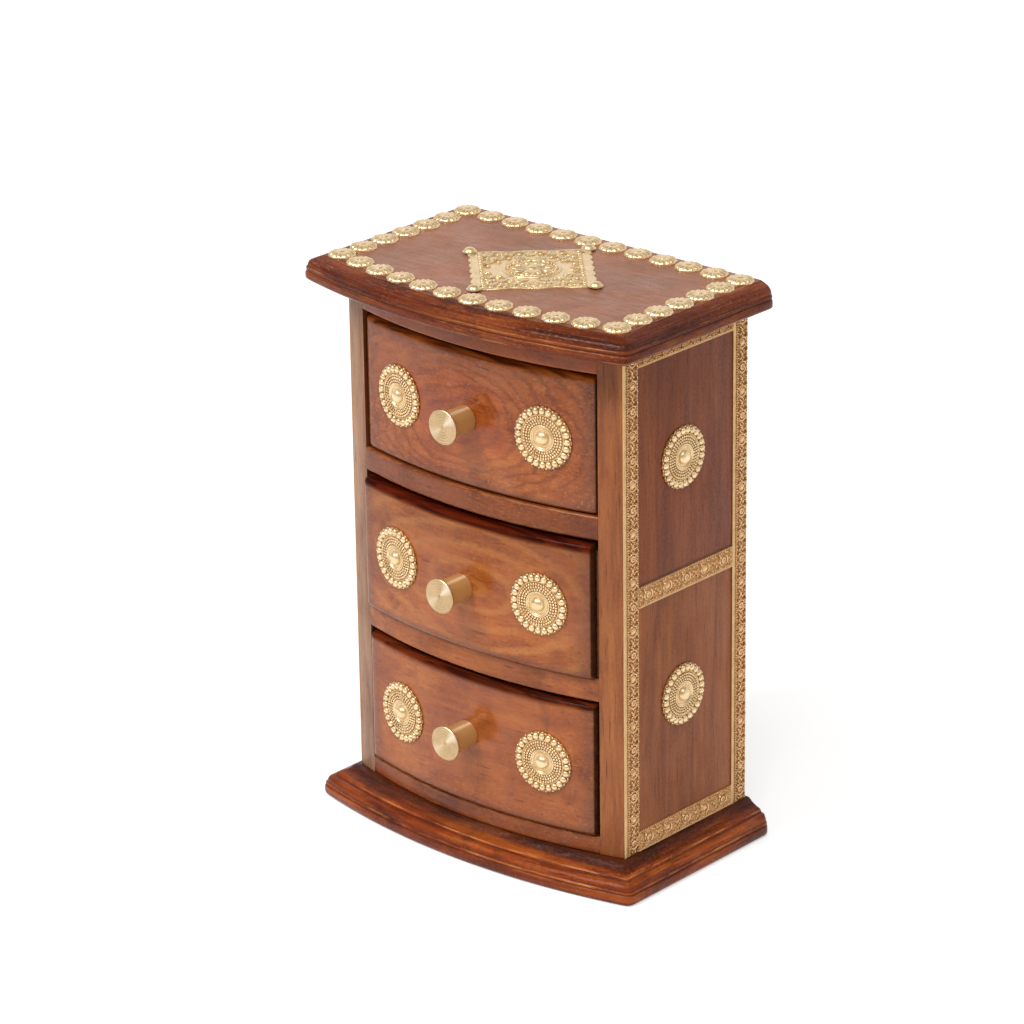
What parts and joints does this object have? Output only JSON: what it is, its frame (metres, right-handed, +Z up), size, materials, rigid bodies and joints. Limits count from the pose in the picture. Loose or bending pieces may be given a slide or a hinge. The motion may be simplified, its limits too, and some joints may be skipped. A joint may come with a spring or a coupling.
{
  "type": "drawer box",
  "caption": "Small bow-fronted wooden drawer box with stacked drawers, turned brass knobs, moulded top and plinth, and embossed brass rosettes, strips and top trim.",
  "frame": {"origin": "centre of the plinth's underside across the width, halfway along the side panels' depth", "axes": "+X to the right seen from the front, +Y to the back, +Z up; the drawers pull out along -Y"},
  "size_m": [0.1448, 0.0902, 0.2052],
  "materials": {
    "moulding_wood": "satin",
    "case_wood": "satin",
    "back_board": "matte",
    "drawer_front_wood": "gloss",
    "drawer_box_wood": "matte",
    "knob_brass": "polished",
    "rosette_brass": "satin",
    "strip_brass": "satin",
    "trim_brass": "satin",
    "screw_steel": "brushed",
    "nail_iron": "matte"
  },
  "bodies": {
    "case": {"top_board": "moulding_wood", "plinth_board": "moulding_wood", "left_side_panel": "case_wood", "right_side_panel": "case_wood", "bottom_shelf": "case_wood", "lower_shelf": "case_wood", "upper_shelf": "case_wood", "top_shelf": "case_wood", "back_panel": "back_board", "left_front_strip": "strip_brass", "left_back_strip": "strip_brass", "left_top_strip": "strip_brass", "left_middle_strip": "strip_brass", "left_bottom_strip": "strip_brass", "left_side_rosettes": "rosette_brass", "right_front_strip": "strip_brass", "right_back_strip": "strip_brass", "right_top_strip": "strip_brass", "right_middle_strip": "strip_brass", "right_bottom_strip": "strip_brass", "right_side_rosettes": "rosette_brass", "top_flower_discs": "trim_brass", "top_plaque": "trim_brass", "plaque_studs": "trim_brass", "back_panel_nails": "nail_iron", "plinth_nails": "nail_iron"},
    "top_drawer": {"top_drawer_front": "drawer_front_wood", "top_drawer_left_side": "drawer_box_wood", "top_drawer_right_side": "drawer_box_wood", "top_drawer_back": "drawer_box_wood", "top_drawer_bottom": "drawer_box_wood", "top_drawer_knob": "knob_brass", "top_drawer_knob_screw": "screw_steel", "top_drawer_rosettes": "rosette_brass"},
    "middle_drawer": {"middle_drawer_front": "drawer_front_wood", "middle_drawer_left_side": "drawer_box_wood", "middle_drawer_right_side": "drawer_box_wood", "middle_drawer_back": "drawer_box_wood", "middle_drawer_bottom": "drawer_box_wood", "middle_drawer_knob": "knob_brass", "middle_drawer_knob_screw": "screw_steel", "middle_drawer_rosettes": "rosette_brass"},
    "bottom_drawer": {"bottom_drawer_front": "drawer_front_wood", "bottom_drawer_left_side": "drawer_box_wood", "bottom_drawer_right_side": "drawer_box_wood", "bottom_drawer_back": "drawer_box_wood", "bottom_drawer_bottom": "drawer_box_wood", "bottom_drawer_knob": "knob_brass", "bottom_drawer_knob_screw": "screw_steel", "bottom_drawer_rosettes": "rosette_brass"}
  },
  "joints": [
    {"name": "top_drawer_slide", "type": "slide", "parent": "case", "child": "top_drawer", "axis": [0, -1, 0], "range_m": [0, 0.04]},
    {"name": "middle_drawer_slide", "type": "slide", "parent": "case", "child": "middle_drawer", "axis": [0, -1, 0], "range_m": [-0.0032, 0.0368]},
    {"name": "bottom_drawer_slide", "type": "slide", "parent": "case", "child": "bottom_drawer", "axis": [0, -1, 0], "range_m": [-0.0019, 0.0381]}
  ]
}
